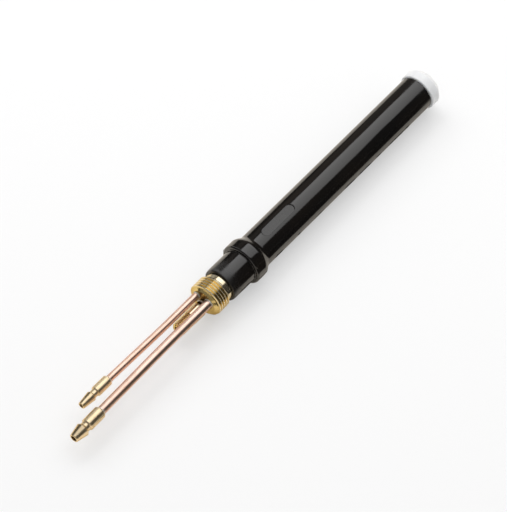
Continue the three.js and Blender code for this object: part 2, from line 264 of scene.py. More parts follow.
def rounded(corners, steps=5):
    """An outline's points, from corners given as (x, radius, rounding)."""
    points = []
    for i, (x, radius, size) in enumerate(corners):
        here = Vector((x, radius))
        if size == 0:
            points.append(here)
            continue
        back = (Vector(corners[i - 1][:2]) - here).normalized()
        ahead = (Vector(corners[(i + 1) % len(corners)][:2]) - here).normalized()
        half = back.angle(ahead) / 2
        centre = here + (back + ahead).normalized() * size / math.sin(half)
        first = here + back * size / math.tan(half) - centre
        last = here + ahead * size / math.tan(half) - centre
        start = math.atan2(first.y, first.x)
        sweep = (math.atan2(last.y, last.x) - start + math.pi) % (2 * math.pi) - math.pi
        for k in range(steps + 1):
            turn = start + sweep * k / steps
            points.append(centre + size * Vector((math.cos(turn), math.sin(turn))))
    return points


def turning(outline, centre=(0.0, AXIS_HEIGHT), angles=evenly(144), swell=None):
    """A mesh turned about a line along X. The outline is a loop unless it ends on that line."""
    mesh = bmesh.new()
    rings = []
    for angle in angles:
        ring = []
        for x, radius in outline:
            size = radius + (swell(x, radius, angle) if swell else 0.0)
            ring.append(mesh.verts.new((x, centre[0] + size * math.cos(angle),
                                        centre[1] + size * math.sin(angle))))
        rings.append(ring)
    steps = len(outline) - (1 if outline[0][1] == 0 and outline[-1][1] == 0 else 0)
    for here, there in zip(rings, rings[1:] + rings[:1]):
        for a in range(steps):
            b = (a + 1) % len(outline)
            mesh.faces.new((here[a], here[b], there[b], there[a]))
    return mesh


def solid_of(name, mesh):
    """A closed, outward-facing object made from a bmesh."""
    bmesh.ops.remove_doubles(mesh, verts=mesh.verts, dist=1e-7)
    bmesh.ops.dissolve_degenerate(mesh, edges=mesh.edges, dist=1e-7)
    bmesh.ops.recalc_face_normals(mesh, faces=mesh.faces)
    if mesh.calc_volume(signed=True) < 0:
        bmesh.ops.reverse_faces(mesh, faces=mesh.faces)
    solid = bpy.data.objects.new(name, bpy.data.meshes.new(name))
    mesh.to_mesh(solid.data)
    mesh.free()
    bpy.context.scene.collection.objects.link(solid)
    return solid


def fit_piece(piece, material, node, body=TORCH):
    """Gives a piece its shading and finish, and puts it in the place of its CAD node."""
    piece.data.polygons.foreach_set("use_smooth", [True] * len(piece.data.polygons))
    piece.data.set_sharp_from_angle(angle=SHARP_EDGE)
    weigh = piece.modifiers.new("even_shading", "WEIGHTED_NORMAL")
    weigh.keep_sharp = True
    piece.data.materials.clear()
    piece.data.materials.append(material)
    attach(piece, body)
    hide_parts(node)


def start_finish(name, constants):
    """A new material with its constants set, and the place on the piece that patterns use."""
    material = bpy.data.materials.new(name)
    material.use_nodes = True
    tree = material.node_tree
    for socket, value in constants.items():
        tree.nodes["Principled BSDF"].inputs[socket].default_value = value
    return material, Socket(tree).node("ShaderNodeTexCoord", output="Object")


def link_finish(patterns):
    """Links each pattern to the shader's socket of that name."""
    for socket, pattern in patterns.items():
        shader = pattern.tree.nodes["Principled BSDF"]
        pattern.tree.links.new(pattern.output, shader.inputs[socket])


def noise(place, scale, detail=3.0, roughness=0.5):
    return place.node("ShaderNodeTexNoise", None, {
        "Vector": place, "Scale": scale, "Detail": detail, "Roughness": roughness})


def stretched(place, x, y, z):
    return place.node("ShaderNodeVectorMath", {"operation": "MULTIPLY"},
                      {0: place, 1: (x, y, z)})


def ramp(value, *stops):
    """A colour read off a ramp, whose stops are (position, red, green, blue)."""
    stops = [(position, (*color, 1.0)) for position, *color in stops]
    return value.node("ShaderNodeValToRGB", {"stops": stops}, {"Fac": value})


def between(value, low, high):
    """A value's range from 0.3 to 0.7 spread over another range."""
    return value.node("ShaderNodeMapRange", None, {
        "Value": value, "From Min": 0.3, "From Max": 0.7, "To Min": low, "To Max": high})


def bump(height, distance):
    return height.node("ShaderNodeBump", None, {
        "Height": height, "Strength": 1.0, "Distance": distance}, "Normal")


def ptfe_finish():
    material, place = start_finish("ptfe", {
        "IOR": 1.38, "Subsurface Weight": 0.8,
        "Subsurface Radius": (1.0, 1.0, 0.95), "Subsurface Scale": 2.0 * MM})
    clouds = noise(place, 420.0, 4.0)
    turning_lines = noise(stretched(place, 5200, 60, 60), 1.0, 2.0)
    link_finish({
        "Base Color": ramp(clouds, (0.3, 0.69, 0.695, 0.70), (0.7, 0.735, 0.74, 0.745)),
        "Roughness": between(clouds, 0.36, 0.5),
        "Normal": bump(turning_lines, 0.006 * MM),
    })
    return material


def cup_gasket():
    low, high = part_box("cup_gasket")
    bore = SPIGOT_RADIUS + SEAT_GAP
    outline = rounded([
        (high.x, bore, 0.15 * MM),
        (high.x, GASKET_FACE_RADIUS, 0.15 * MM),
        (high.x - GASKET_CONE, GASKET_RADIUS, 0.45 * MM),
        (low.x, GASKET_RADIUS, 0.5 * MM),
        (low.x, bore, 0.15 * MM),
    ])
    ring = solid_of("gasket_ring", turning(outline, angles=evenly(192)))
    fit_piece(ring, ptfe_finish(), "cup_gasket", "gasket_body")


cup_gasket()

# -------------------------------------------------------------------------- body moulding
# Barrel, collar and neck are one glossy black phenolic moulding with a bare, flat-floored label
# pad on top. The two mould halves met along its sides and left a thin parting line with flash.
BARREL_LENGTH = 109.3 * MM
BARREL_FRONT_RADIUS = 7.92 * MM
BARREL_REAR_RADIUS = 8.05 * MM
FLARE_LENGTH = 4.7 * MM
COLLAR_RADIUS = 9.8 * MM
COLLAR_LENGTH = 4.9 * MM
COLLAR_ROUND = 1.0 * MM
NECK_RADIUS = 8.12 * MM
NECK_END_RADIUS = 7.75 * MM
NECK_END_LENGTH = 2.0 * MM
BODY_BORE = 6.5 * MM
PAD_LENGTH = 19.3 * MM
PAD_WIDTH = 4.2 * MM
PAD_BEHIND_FRONT = 95.0 * MM
PAD_DEPTH = 0.4 * MM
PAD_TURN = math.radians(5.8)
PAD_RIM_SLOPE = math.radians(42)
PARTING_ANGLE = math.radians(10)
PARTING_WIDTH = 0.26 * MM
PARTING_HEIGHT = 0.06 * MM
FLASH_HEIGHT = 0.19 * MM
FLASH_COUNT = 24
HANDLED_LENGTH = 10.0 * MM
SMEARED_LENGTH = 16.0 * MM


def lerp(a, b, share):
    return a + (b - a) * share


def cut(piece, *cutters):
    """Cuts solids out of a piece and leaves one plain mesh."""
    for cutter in cutters:
        cutting = piece.modifiers.new("cut", "BOOLEAN")
        cutting.object = cutter
        cutting.solver = "EXACT"
    whole = piece.evaluated_get(bpy.context.evaluated_depsgraph_get())
    result = bpy.data.meshes.new_from_object(whole)
    piece.modifiers.clear()
    piece.data = result
    for cutter in cutters:
        bpy.data.objects.remove(cutter)
    return piece


def barrel_outline(front, rear):
    """The moulding's outline from its bore's front edge, back along the outside. It is sliced
    finely enough for the parting line's flashes."""
    flare_front = front - BARREL_LENGTH
    collar_front = flare_front - FLARE_LENGTH
    collar_rear = collar_front - COLLAR_LENGTH
    outline = rounded([
        (front, BODY_BORE, 0.1 * MM),
        (front, BARREL_FRONT_RADIUS, 0.3 * MM),
        (flare_front, BARREL_REAR_RADIUS, 0),
    ])[:-1]
    barrel_slices, flare_slices, neck_slices, end_slices = 220, 28, 16, 12
    for k in range(1, barrel_slices + 1):
        outline.append((lerp(front, flare_front, k / barrel_slices),
                        lerp(BARREL_FRONT_RADIUS, BARREL_REAR_RADIUS, k / barrel_slices)))
    for k in range(1, flare_slices + 1):
        rise = (1 - math.cos(math.pi * k / flare_slices)) / 2
        outline.append((lerp(flare_front, collar_front, k / flare_slices),
                        lerp(BARREL_REAR_RADIUS, COLLAR_RADIUS, rise)))
    foot = 0.25 * MM
    outline += rounded([
        (collar_front, COLLAR_RADIUS, 0),
        (collar_rear, COLLAR_RADIUS, COLLAR_ROUND),
        (collar_rear, NECK_RADIUS, foot),
        (rear, NECK_RADIUS, 0),
    ], steps=8)[1:-1]
    start = collar_rear - foot
    for k in range(1, neck_slices + 1):
        outline.append((lerp(start, rear + NECK_END_LENGTH, k / neck_slices), NECK_RADIUS))
    for k in range(1, end_slices + 1):
        angle = math.pi / 2 * k / end_slices
        outline.append((rear + NECK_END_LENGTH * (1 - math.sin(angle)),
                        lerp(NECK_END_RADIUS, NECK_RADIUS, math.cos(angle))))
    return outline + [(rear, BODY_BORE)]


def parting_line(front, rear):
    """How far the parting line stands up at a place on the moulding."""
    draws = random.Random(7)
    flashes = []
    for _ in range(FLASH_COUNT):
        middle = draws.uniform(rear, front)
        flashes.append((middle, draws.uniform(0.8, 5.0) * MM, draws.uniform(0.3, 1.0)))

    def swell(x, radius, angle):
        if radius <= BODY_BORE:
            return 0.0
        off = math.remainder(angle - PARTING_ANGLE, math.pi) * radius
        share = max(0.0, 1 - abs(off) / PARTING_WIDTH)
        if share == 0.0:
            return 0.0
        flash = max(size * max(0.0, 1 - abs(x - middle) / half)
                    for middle, half, size in flashes)
        return share * (PARTING_HEIGHT + FLASH_HEIGHT * min(1.0, 2 * flash))
    return swell


def moulding_angles():
    """Angles round the moulding, drawn close together across both parting lines."""
    close = [k * PARTING_WIDTH / 2 / BARREL_REAR_RADIUS for k in (-3, -2, -1, 0, 1, 2, 3)]
    sides = 256
    spread = [a for a in evenly(sides)
              if abs(math.sin(a - PARTING_ANGLE)) * BARREL_REAR_RADIUS > 2 * PARTING_WIDTH]
    near = [(PARTING_ANGLE + middle + a) % (2 * math.pi)
            for middle in (0, math.pi) for a in close]
    return sorted(spread + near)


def pad_floor():
    """The distance of the pad's floor from the torch's axis."""
    top = lerp(BARREL_FRONT_RADIUS, BARREL_REAR_RADIUS, PAD_BEHIND_FRONT / BARREL_LENGTH)
    return top - PAD_DEPTH


def pad_cutter(front):
    """A capsule on the pad's floor that widens upwards at the slope of the pad's rim."""
    middle = front - PAD_BEHIND_FRONT
    floor = pad_floor()
    straight = (PAD_LENGTH - PAD_WIDTH) / 2
    sides = 64
    mesh = bmesh.new()
    loop = []
    for k in range(sides):
        angle = 2 * math.pi * (k + 0.5) / sides
        end = straight if math.cos(angle) > 0 else -straight
        loop.append(mesh.verts.new((middle + end + PAD_WIDTH / 2 * math.cos(angle),
                                    PAD_WIDTH / 2 * math.sin(angle), floor)))
    base = mesh.faces.new(loop)
    raised = bmesh.ops.extrude_face_region(mesh, geom=[base])["geom"]
    above = 2 * MM
    for top in (v for v in raised if isinstance(v, bmesh.types.BMVert)):
        end = middle + math.copysign(straight, top.co.x - middle)
        out = Vector((top.co.x - end, top.co.y, 0)).normalized()
        top.co += out * above / math.tan(PAD_RIM_SLOPE) + Vector((0, 0, above))
    bmesh.ops.rotate(mesh, matrix=Matrix.Rotation(PAD_TURN, 3, "X"), verts=mesh.verts)
    bmesh.ops.translate(mesh, vec=(0, 0, AXIS_HEIGHT), verts=mesh.verts)
    return solid_of("pad_cutter", mesh)


def coordinate(place, name):
    """One of the place's coordinates, by its name."""
    return place.node("ShaderNodeSeparateXYZ", None, {0: place}, name)


def dot(place, direction):
    """How far the place lies along a direction."""
    return place.node("ShaderNodeVectorMath", {"operation": "DOT_PRODUCT"},
                      {0: place, 1: direction}, "Value")


def fade(value, start, end):
    """0 at the start, 1 at the end, and a smooth change between them."""
    return value.node("ShaderNodeMapRange", {"interpolation_type": "SMOOTHSTEP"}, {
        "Value": value, "From Min": start, "From Max": end})


def mixed(share, first, second):
    """A colour that goes from the first at a share of 0 to the second at 1."""
    return share.node("ShaderNodeMix", {"data_type": "RGBA"}, {0: share, 6: first, 7: second}, 2)


def moulding_finish(front, rear):
    """Black gloss with slow waves and faint clouds. It is duller where hands and flux reach its
    ends, on the pad's floor and along the broken flash."""
    material, place = start_finish("black_moulding", {"IOR": 1.65})
    clouds = noise(place, 210.0, 5.0, 0.6)
    waves = noise(stretched(place, 38, 95, 95), 1.0, 1.0)
    grain = noise(place, 5200.0, 2.0)
    warm = noise(stretched(place, 30, 140, 140), 1.0, 3.0)
    x = coordinate(place, "X")
    handled = fade(x, rear + HANDLED_LENGTH, rear + 1 * MM)
    smudged = handled * clouds * 0.45 + fade(x, front - SMEARED_LENGTH, front) * 0.1
    turn, rise = math.sin(PAD_TURN), math.cos(PAD_TURN)
    aside = dot(place, (0, rise, turn)) - AXIS_HEIGHT * turn
    up = dot(place, (0, -turn, rise)) - AXIS_HEIGHT * rise
    pad = (x.maths("COMPARE", aside, 0.0, PAD_WIDTH / 2)
           * x.maths("COMPARE", up, pad_floor(), 0.02 * MM))
    slope, level = math.sin(PARTING_ANGLE), math.cos(PARTING_ANGLE)
    off = dot(place, (0, -slope, level)) - AXIS_HEIGHT * level
    broken = x.maths("COMPARE", off, 0.0, 0.8 * PARTING_WIDTH) * fade(clouds, 0.35, 0.6)
    dull = smudged + pad * 0.16 + broken * 0.4
    link_finish({
        "Base Color": ramp(warm, (0.35, 0.0050, 0.0045, 0.0042), (0.7, 0.0085, 0.0066, 0.0052)),
        "Roughness": between(clouds, 0.075, 0.135) + dull,
        "Normal": bump(waves * 0.9 + grain * 0.004 + clouds * 0.02, 0.35 * MM),
    })
    return material


def body_moulding():
    low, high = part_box("body_moulding")
    mesh = turning(barrel_outline(high.x, low.x), angles=moulding_angles(),
                   swell=parting_line(high.x, low.x))
    moulding = cut(solid_of("moulded_body", mesh), pad_cutter(high.x))
    fit_piece(moulding, moulding_finish(high.x, low.x), "body_moulding")


body_moulding()

# --------------------------------------------------------------------------- rear fitting
# A brass turning whose spigot is held in the neck. Behind its relief groove it carries the
# 5/8-18 handle thread, and its chamfered end face is drilled for the two tubes and the stud.
RELIEF_RADIUS = 6.75 * MM
RELIEF_LENGTH = 2.7 * MM
HANDLE_THREAD_RADIUS = 7.9375 * MM
HANDLE_THREAD_PITCH = 1.4111 * MM
HANDLE_THREAD_DEPTH = 0.86 * MM
HANDLE_THREAD_CHAMFER = 1.5 * MM
THREAD_LEAD = 0.5 * MM
FITTING_FACE_RADIUS = 6.2 * MM
BRAZE_GAP = 0.15 * MM
PALE_BRASS = (0.78, 0.66, 0.44), (0.87, 0.77, 0.555), (0.90, 0.81, 0.60)
# Painted shade: the darker golden colour of thread roots, where the flanks shade one another
THREAD_ROOT_SHADE = 0.70, 0.53, 0.22, 1.0
# Painted shade: the dark brown laid on the middle of the fitting's end face, between the tubes'
# feet
FACE_SHADE = 0.34, 0.25, 0.14, 1.0


def thread_height(phase):
    """A thread's height, from 0 in its root to 1 on its crest, both rounded. The phase is the
    share of a turn past the middle of the crest."""
    foot, flank_width = 0.43, 0.33
    crest_round, root_round = 0.3, 0.12
    flank = (foot - min(phase, 1 - phase)) / flank_width
    topped = min(flank, 1.0) - max(crest_round - abs(flank - 1), 0.0) ** 2 / (4 * crest_round)
    return max(topped, 0.0) + max(root_round - abs(topped), 0.0) ** 2 / (4 * root_round)


def screwing(before, limits, after, root, depth, pitch, centre=(0.0, AXIS_HEIGHT), sides=144):
    """A turning whose middle carries a right-hand thread, trimmed to its limits' outline."""
    steps = 24
    start, end = limits[0][0], limits[-1][0]
    count = math.ceil(steps * (start - end) / pitch) + steps + 2
    mesh = bmesh.new()
    rings = []
    for i in range(sides):
        lead = i / sides
        thread = []
        for k in range(count):
            x = min(max(start - pitch * (k / steps - lead), end), start)
            height = thread_height(((start - x) / pitch + lead) % 1.0)
            thread.append((x, min(root + depth * height, limit_at(limits, x))))
        angle = 2 * math.pi * lead
        rings.append([mesh.verts.new((x, centre[0] + radius * math.cos(angle),
                                      centre[1] + radius * math.sin(angle)))
                      for x, radius in [*before, *thread, *after]])
    first = len(before)
    total = first + count + len(after)
    closed = not (before[0][1] == 0 and after[-1][1] == 0)

    def across_seam(k):
        if first <= k < first + count:
            return max(first, k - steps)
        return k
    for i in range(sides):
        here = rings[i]
        there = rings[(i + 1) % sides]
        if i == sides - 1:
            there = [there[across_seam(k)] for k in range(total)]
        for a in range(total if closed else total - 1):
            b = (a + 1) % total
            corners = list(dict.fromkeys((here[a], here[b], there[b], there[a])))
            if len(corners) > 2:
                mesh.faces.new(corners)
    return mesh


def limit_at(limits, x):
    """The radius of the limits' outline at a place along X."""
    for (x0, r0), (x1, r1) in zip(limits, limits[1:]):
        if x >= x1:
            return lerp(r0, r1, (x0 - x) / (x0 - x1))
    return limits[-1][1]


def rod(centre, radius, front, rear, sides=64):
    """A plain rod along X that drills a hole."""
    return solid_of("rod", turning([(front, 0), (front, radius), (rear, radius), (rear, 0)],
                                   centre, evenly(sides)))


def radius_from(place, centre):
    """The distance from a line along X."""
    across = place.node("ShaderNodeVectorMath", {"operation": "MULTIPLY_ADD"},
                        {0: place, 1: (0, 1, 1), 2: (0, -centre[0], -centre[1])})
    return across.node("ShaderNodeVectorMath", {"operation": "LENGTH"}, {0: across}, "Value")


def brass_finish(name, roughness=(0.14, 0.22), shades=PALE_BRASS, thread=None, painted_shade=None,
                 heart=None):
    """Turned brass with fine tool lines round it and a thin oxide film. Painted shade darkens the
    roots of a thread, given as (centre, radius, depth, front). More painted shade, given as
    (start, end, colour), covers a range along X, round its heart, given as (centre, inner radius,
    outer radius)."""
    material, place = start_finish(name, {
        "Metallic": 0.96, "Specular Tint": (0.72, 0.60, 0.38, 1.0)})
    tool_lines = noise(stretched(place, 6500, 30, 30), 1.0, 2.0)
    stains = noise(place, 330.0, 5.0, 0.6)
    color = ramp(stains, *((at, *shade) for at, shade in zip((0.3, 0.55, 0.75), shades)))
    # Painted shade: darker golden thread roots, where the flanks shade one another
    if thread:
        centre, radius, depth, front = thread
        crest = fade(radius_from(place, centre), radius - 0.6 * depth, radius - 0.1 * depth)
        ahead = fade(coordinate(place, "X"), front - 0.2 * MM, front + 0.1 * MM)
        color = mixed(crest + ahead, THREAD_ROOT_SHADE, color)
    # Painted shade: a darker colour over a range along X, round the heart
    if painted_shade:
        start, end, shade_color = painted_shade
        share = fade(coordinate(place, "X"), start, end)
        if heart:
            centre, inner, outer = heart
            share = share * fade(radius_from(place, centre), outer, inner)
        color = mixed(share, color, shade_color)
    link_finish({
        "Base Color": color,
        "Roughness": between(stains, *roughness),
        "Normal": bump(tool_lines, 0.0015 * MM),
    })
    return material


def middle_of(node):
    """The place of a node's middle across the torch."""
    low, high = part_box(node)
    return (low.y + high.y) / 2, (low.z + high.z) / 2


GAS_TUBE = {"centre": middle_of("gas_tube_rear_braze"), "radius": 1.5875 * MM, "bore": 1.0 * MM}
WATER_TUBE = {"centre": middle_of("water_tube_rear_braze"), "radius": 1.985 * MM, "bore": 1.3 * MM}
STUD = {"centre": middle_of("power_stud"), "radius": 2.7 * MM}
fitting_low, fitting_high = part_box("rear_fitting")


def rear_fitting():
    neck_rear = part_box("body_moulding")[0].x
    relief_front = neck_rear - SEAT_GAP
    thread_front = relief_front - RELIEF_LENGTH
    spigot = BODY_BORE - SEAT_GAP
    rear = fitting_low.x
    before = rounded([
        (fitting_high.x, 0, 0),
        (fitting_high.x, spigot, 0.3 * MM),
        (relief_front, spigot, 0),
        (relief_front, RELIEF_RADIUS, 0.15 * MM),
        (thread_front + THREAD_LEAD, RELIEF_RADIUS, 0.3 * MM),
        (thread_front, RELIEF_RADIUS + 0.4 * MM, 0),
    ])[:-1]
    limits = [
        (thread_front + 0.3 * MM, RELIEF_RADIUS + 0.1 * MM),
        (thread_front - 0.6 * MM, HANDLE_THREAD_RADIUS),
        (rear + HANDLE_THREAD_CHAMFER, HANDLE_THREAD_RADIUS),
        (rear + 0.1 * MM, FITTING_FACE_RADIUS + 0.08 * MM),
    ]
    after = [(rear, FITTING_FACE_RADIUS - 0.05 * MM), (rear, 0)]
    mesh = screwing(before, limits, after, HANDLE_THREAD_RADIUS - HANDLE_THREAD_DEPTH,
                    HANDLE_THREAD_DEPTH, HANDLE_THREAD_PITCH)
    past = 1 * MM
    drills = [rod(tube["centre"], tube["radius"] + BRAZE_GAP, fitting_high.x + past, rear - past)
              for tube in (GAS_TUBE, WATER_TUBE, STUD)]
    fitting = cut(solid_of("threaded_fitting", mesh), *drills)
    # Painted shade on the end face: dark brown round its middle, where the tubes' feet shade it
    brass = brass_finish(
        "fitting_brass",
        thread=((0.0, AXIS_HEIGHT), HANDLE_THREAD_RADIUS, HANDLE_THREAD_DEPTH, thread_front),
        painted_shade=(rear + 0.5 * MM, rear, FACE_SHADE),
        heart=((0.2 * MM, AXIS_HEIGHT + 0.6 * MM), 3.0 * MM, 5.6 * MM))
    fit_piece(fitting, brass, "rear_fitting")


rear_fitting()

# --------------------------------------------------------------------- gas and water tubes
# Drawn copper tubes, brazed in the fitting. They run straight out of it and then drift apart
# and down to their barbs, the thicker water tube reaching furthest.
STRAIGHT_BEHIND_FITTING = 16.0 * MM
FRESH_COPPER = 0.90, 0.66, 0.55
DULL_COPPER = 0.80, 0.52, 0.39
mounts = {mount["name"]: mount for mount in frame["record"]["mounts"]}


def barb_end(mount_name, face_offset):
    """The middle of a barb's end face, and the turn from the torch's axis to the barb's."""
    mount = mounts[mount_name]
    turn = Vector((-1, 0, 0)).rotation_difference(Vector(mount["axis"]))
    return Vector(mount["pos_m"]) - turn @ Vector((0, 0, face_offset)), turn


def tube_path(node, tube, tip, turn, stop):
    """Points and directions along a tube, ending where its barb's socket stops it."""
    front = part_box(node)[1].x
    rear_axis = turn @ Vector((-1, 0, 0))
    start = Vector((fitting_low.x - STRAIGHT_BEHIND_FITTING, *tube["centre"]))
    end = tip - rear_axis * stop
    lead = (start.x - end.x) / 3
    first = start + Vector((-lead, 0, 0))
    second = end - rear_axis * lead / abs(rear_axis.x)
    points = [(Vector((front, *tube["centre"])), Vector((-1, 0, 0)))]
    steps = 40  # along the drifting length
    for k in range(steps + 1):
        t = k / steps
        u = 1 - t
        place = u ** 3 * start + 3 * u * u * t * first + 3 * u * t * t * second + t ** 3 * end
        slope = u * u * (first - start) + 2 * u * t * (second - first) + t * t * (end - second)
        points.append((place, slope.normalized()))
    return points


def tube_mesh(path, radius, bore, sides=64):
    """An open tube along a path, with its wall closed at both ends."""
    mesh = bmesh.new()
    rings = []
    for place, slope in path:
        turn = Vector((-1, 0, 0)).rotation_difference(slope)
        rings.append([[mesh.verts.new(place + turn @ Vector((0, size * math.cos(angle),
                                                             size * math.sin(angle))))
                       for angle in evenly(sides)] for size in (radius, bore)])
    for here, there in zip(rings, rings[1:]):
        for wall in (0, 1):
            for a in range(sides):
                b = (a + 1) % sides
                mesh.faces.new((here[wall][a], here[wall][b], there[wall][b], there[wall][a]))
    for ring in (rings[0], rings[-1]):
        for a in range(sides):
            b = (a + 1) % sides
            mesh.faces.new((ring[0][a], ring[0][b], ring[1][b], ring[1][a]))
    return mesh


def copper_finish(name):
    """Drawn copper with die lines along it, faint handling marks and a thin oxide film."""
    material, place = start_finish(name, {
        "Metallic": 0.98, "Specular Tint": (0.70, 0.48, 0.38, 1.0)})
    die_lines = noise(stretched(place, 12, 2600, 2600), 1.0, 3.0)
    marks = noise(stretched(place, 120, 260, 260), 1.0, 5.0, 0.65)
    link_finish({
        "Base Color": ramp(marks, (0.32, *DULL_COPPER), (0.6, *FRESH_COPPER)),
        "Roughness": between(marks, 0.36, 0.28),
        "Normal": bump(die_lines, 0.004 * MM),
    })
    return material


# Both barbs' sizes. The face offset runs from a barb's axis up to the mount's point on its end.
GAS_BARB = {
    "sleeve_radius": 2.36 * MM, "sleeve": 7.9 * MM, "edge": 0.35 * MM, "socket": 6.0 * MM,
    "bore": 1.0 * MM, "groove_radius": 1.75 * MM, "groove": 1.9 * MM, "back": 0.6 * MM,
    "barb_radius": 2.3 * MM, "tip_radius": 1.58 * MM, "barb": 6.9 * MM, "face_offset": 1.2 * MM,
}
WATER_BARB = {
    "sleeve_radius": 2.82 * MM, "sleeve": 8.9 * MM, "edge": 0.5 * MM, "socket": 6.5 * MM,
    "bore": 1.4 * MM, "groove_radius": 2.25 * MM, "groove": 1.4 * MM, "back": 1.0 * MM,
    "barb_radius": 3.1 * MM, "tip_radius": 2.0 * MM, "barb": 6.7 * MM, "face_offset": 1.62 * MM,
}
tube_copper = copper_finish("tube_copper")


def copper_tube(name, node, tube, mount_name, barb):
    tip, turn = barb_end(mount_name, barb["face_offset"])
    overall = barb["sleeve"] + barb["groove"] + barb["barb"]
    stop = overall - barb["socket"] + SEAT_GAP
    mesh = tube_mesh(tube_path(node, tube, tip, turn, stop), tube["radius"], tube["bore"])
    fit_piece(solid_of(name, mesh), tube_copper, node)


copper_tube("gas_line", "gas_tube", GAS_TUBE, "gas_hose_end", GAS_BARB)
copper_tube("water_line", "water_tube", WATER_TUBE, "water_hose_end", WATER_BARB)

# ---------------------------------------------------------------------------- hose barbs
# Turned brass ends, one on each long tube. A sleeve takes the tube, and a tapered barb behind a
# groove holds the hose and its clip. Silver braze closes the sleeve's mouth.
WARM_BRASS = (0.74, 0.575, 0.35), (0.83, 0.675, 0.445), (0.86, 0.71, 0.485)


def along(mesh, tip, turn):
    """Moves a mesh turned about the X axis, with its rear end at the origin, to a tube's end."""
    turned = turn.to_matrix().to_4x4()
    turned.translation = tip
    bmesh.ops.transform(mesh, matrix=turned, verts=mesh.verts)
    return mesh


def hose_barb(name, node, tube, barb, mount_name, material):
    tip, turn = barb_end(mount_name, barb["face_offset"])
    socket = tube["radius"] + BRAZE_GAP
    groove_rear = barb["barb"]
    groove_front = groove_rear + barb["groove"]
    mouth = groove_front + barb["sleeve"]
    edge = barb["edge"]
    outline = rounded([
        (mouth, socket, 0),
        (mouth, barb["sleeve_radius"] - edge, 0.05 * MM),
        (mouth - edge, barb["sleeve_radius"], 0.12 * MM),
        (groove_front + edge, barb["sleeve_radius"], 0.12 * MM),
        (groove_front, barb["sleeve_radius"] - edge, 0.05 * MM),
        (groove_front, barb["groove_radius"], 0.12 * MM),
        (groove_rear, barb["groove_radius"], 0.12 * MM),
        (groove_rear - barb["back"], barb["barb_radius"], 0.1 * MM),
        (0.15 * MM, barb["tip_radius"], 0.1 * MM),
        (0, barb["tip_radius"] - 0.15 * MM, 0),
        (0, barb["bore"] + 0.08 * MM, 0.03 * MM),
        (-0.001 * MM, barb["bore"], 0),
        (mouth - barb["socket"], barb["bore"], 0),
        (mouth - barb["socket"], socket, 0),
    ], steps=4)
    mesh = turning([(x, radius) for x, radius in outline], (0.0, 0.0), evenly(96))
    barb_piece = solid_of(name, along(mesh, tip, turn))
    fit_piece(barb_piece, material, node)


barb_brass = brass_finish("barb_brass", (0.26, 0.34), WARM_BRASS)
hose_barb("gas_barb", "gas_hose_barb", GAS_TUBE, GAS_BARB, "gas_hose_end", barb_brass)
hose_barb("water_barb", "water_hose_barb", WATER_TUBE, WATER_BARB, "water_hose_end", barb_brass)

# ---------------------------------------------------------------------------- power stud
# A brass stud that carries the welding current and the returning water. Its shank is brazed in
# the fitting, and the power cable's nut screws on its 1/4-28 end, up to a plain round shoulder.
STUD_STAND_OFF = 2.0 * MM
STUD_SHOULDER_RADIUS = 3.25 * MM
STUD_SHOULDER_LENGTH = 6.5 * MM
STUD_THREAD_RADIUS = 3.175 * MM
STUD_THREAD_PITCH = 0.9071 * MM
STUD_THREAD_DEPTH = 0.55 * MM
STUD_TIP_CHAMFER = 0.9 * MM
STUD_TIP_STEP = 0.72 * MM
STUD_BORE = 1.6 * MM
STUD_SOCKET_DEPTH = 8.0 * MM
# Painted shade: the near-black colour of the shank in the gap between the fitting and the shoulder
SHANK_SHADE = 0.10, 0.065, 0.04, 1.0
RETURN_TUBE_RADIUS = 2.0 * MM


def power_stud():
    low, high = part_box("power_stud")
    shoulder = fitting_low.x - STUD_STAND_OFF
    thread_front = shoulder - STUD_SHOULDER_LENGTH
    socket = RETURN_TUBE_RADIUS + BRAZE_GAP
    floor = high.x - STUD_SOCKET_DEPTH
    before = rounded([
        (floor, STUD_BORE, 0),
        (floor, socket, 0),
        (high.x, socket, 0),
        (high.x, STUD["radius"], 0.1 * MM),
        (shoulder, STUD["radius"], 0),
        (shoulder, STUD_SHOULDER_RADIUS, 0.3 * MM),
        (thread_front, STUD_SHOULDER_RADIUS, 0.25 * MM),
        (thread_front, STUD_THREAD_RADIUS - STUD_THREAD_DEPTH, 0),
    ])
    limits = [
        (thread_front, STUD_THREAD_RADIUS - STUD_THREAD_DEPTH),
        (thread_front - 0.35 * MM, STUD_THREAD_RADIUS),
        (low.x + STUD_TIP_CHAMFER, STUD_THREAD_RADIUS),
        (low.x + 0.05 * MM, STUD_THREAD_RADIUS - STUD_TIP_STEP + 0.04 * MM),
    ]
    after = [(low.x, STUD_THREAD_RADIUS - STUD_TIP_STEP), (low.x, STUD_BORE + 0.25 * MM),
             (low.x + 0.25 * MM, STUD_BORE)]
    mesh = screwing(before, limits, after, STUD_THREAD_RADIUS - STUD_THREAD_DEPTH,
                    STUD_THREAD_DEPTH, STUD_THREAD_PITCH, STUD["centre"], 96)
    stud = solid_of("current_stud", mesh)
    # Painted shade: the shank between the fitting and the shoulder is coloured near black
    brass = brass_finish(
        "stud_brass",
        thread=(STUD["centre"], STUD_THREAD_RADIUS, STUD_THREAD_DEPTH, thread_front),
        painted_shade=(shoulder - 0.1 * MM, shoulder + 0.5 * MM, SHANK_SHADE))
    fit_piece(stud, brass, "power_stud")


power_stud()

# --------------------------------------------------------------------------- braze joints
# Silver braze drawn into each joint. Where a tube leaves the fitting or enters a barb it stands
# as a small uneven fillet with a satin, slightly lumpy skin.
FILLET_HEIGHT = 0.45 * MM
FILLET_WIDTH = 0.16 * MM
FILLET_EDGE = 0.05 * MM
FILLET_SLICES = 8
FILLET_LUMP = 0.035 * MM


def braze_finish():
    material, place = start_finish("silver_braze", {"Metallic": 0.4})
    lumps = noise(place, 1500.0, 3.0)
    link_finish({
        "Base Color": ramp(lumps, (0.3, 0.55, 0.51, 0.44), (0.7, 0.86, 0.83, 0.77)),
        "Roughness": between(lumps, 0.28, 0.45),
        "Normal": bump(lumps, 0.12 * MM),
    })
    return material


silver_braze = braze_finish()


